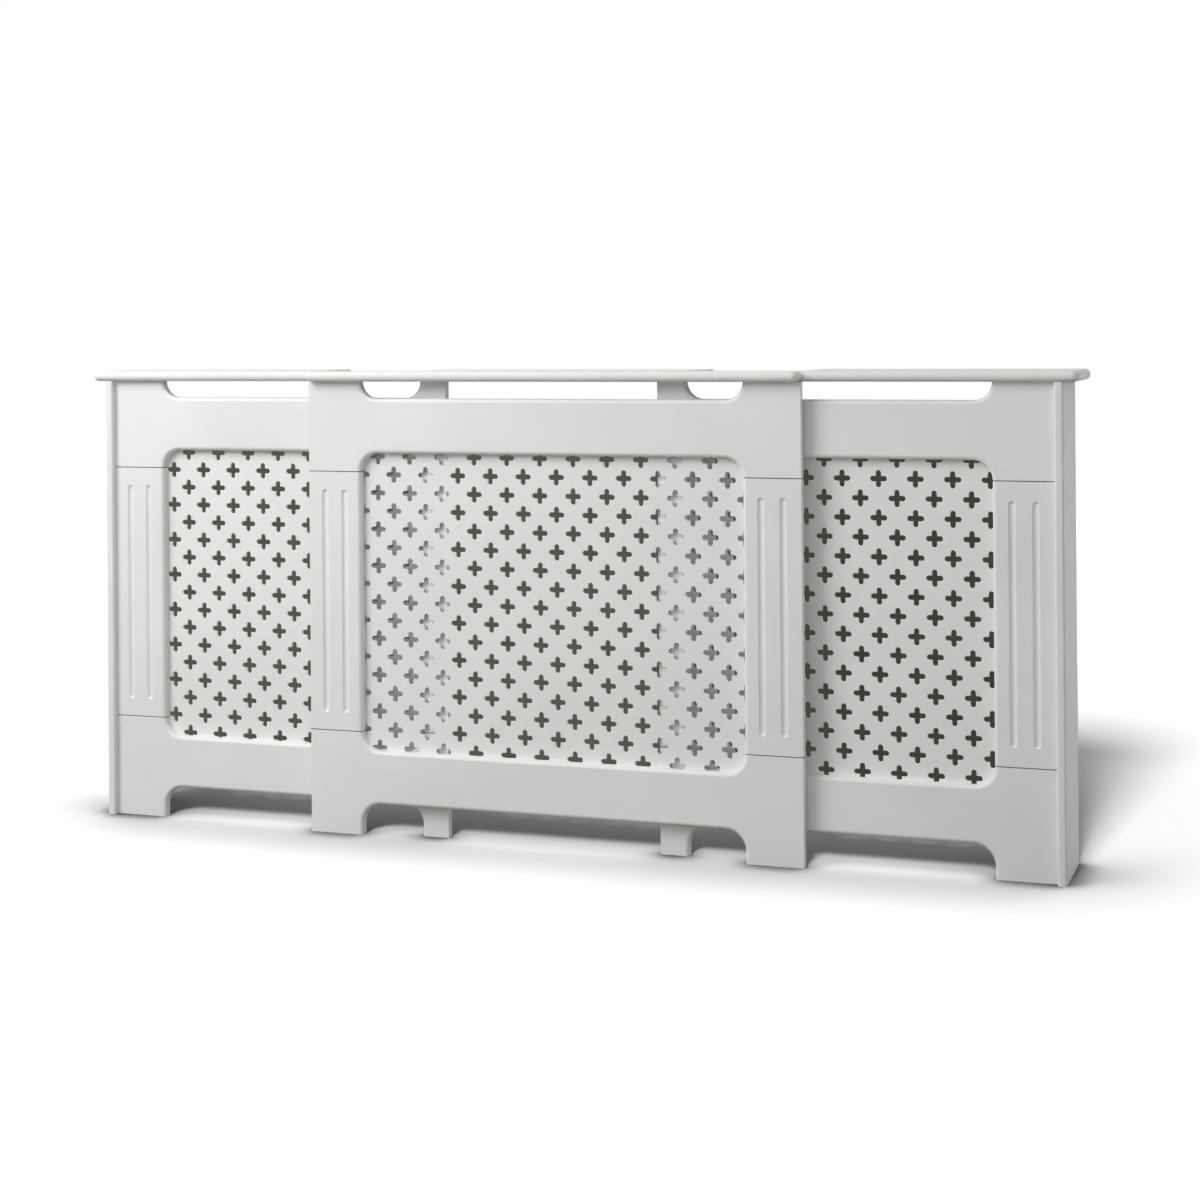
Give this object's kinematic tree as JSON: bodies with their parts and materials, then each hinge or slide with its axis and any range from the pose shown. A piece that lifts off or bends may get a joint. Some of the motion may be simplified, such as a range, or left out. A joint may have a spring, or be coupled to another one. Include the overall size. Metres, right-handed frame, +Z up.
{
  "type": "radiator cover cabinet",
  "caption": "Adjustable white-painted radiator cover: framed cross-pierced grilles, fluted stiles, arched plinth, vent slots, round-nosed shelf and side units that slide behind the centre.",
  "frame": {"origin": "on the floor, at the middle of the width and of the depth", "axes": "+X along the wall to the right seen from the room, +Y towards the wall, +Z up"},
  "size_m": [1.8, 0.19, 0.82],
  "materials": {
    "painted_mdf": "satin white paint on MDF",
    "painted_hardboard": "satin white paint on thin fibreboard",
    "beech": "bare beech",
    "plywood": "bare birch plywood",
    "zinc_steel": "bright zinc plate",
    "softwood": "bare sawn softwood",
    "bracket_steel": "zinc-plated steel strip"
  },
  "bodies": {
    "centre_unit": {"centre_top_rail": "painted_mdf", "centre_bottom_rail": "painted_mdf", "centre_left_stile": "painted_mdf", "centre_right_stile": "painted_mdf", "centre_grille": "painted_hardboard", "centre_frame_tongues": "plywood", "centre_grille_staples": "zinc_steel", "nosing": "painted_mdf", "nosing_tongues": "plywood", "cover_sheet": "painted_hardboard", "guide_blocks": "beech", "guide_keepers": "plywood", "keeper_screws": "zinc_steel"},
    "left_unit": {"left_shelf": "painted_mdf", "left_end_panel": "painted_mdf", "left_top_rail": "painted_mdf", "left_bottom_rail": "painted_mdf", "left_fluted_stile": "painted_mdf", "left_inner_stile": "painted_mdf", "left_grille": "painted_hardboard", "left_frame_tongues": "plywood", "left_grille_staples": "zinc_steel", "left_glue_blocks": "softwood", "left_wall_brackets": "bracket_steel", "left_bracket_screws": "zinc_steel"},
    "right_unit": {"right_shelf": "painted_mdf", "right_end_panel": "painted_mdf", "right_top_rail": "painted_mdf", "right_bottom_rail": "painted_mdf", "right_fluted_stile": "painted_mdf", "right_inner_stile": "painted_mdf", "right_grille": "painted_hardboard", "right_frame_tongues": "plywood", "right_grille_staples": "zinc_steel", "right_glue_blocks": "softwood", "right_wall_brackets": "bracket_steel", "right_bracket_screws": "zinc_steel"}
  },
  "joints": [
    {"name": "right_slide", "type": "slide", "parent": "centre_unit", "child": "right_unit", "axis": [1, 0, 0], "range_m": [-0.194, 0.045]},
    {"name": "left_slide", "type": "slide", "parent": "centre_unit", "child": "left_unit", "axis": [-1, 0, 0], "range_m": [-0.194, 0.045]}
  ]
}
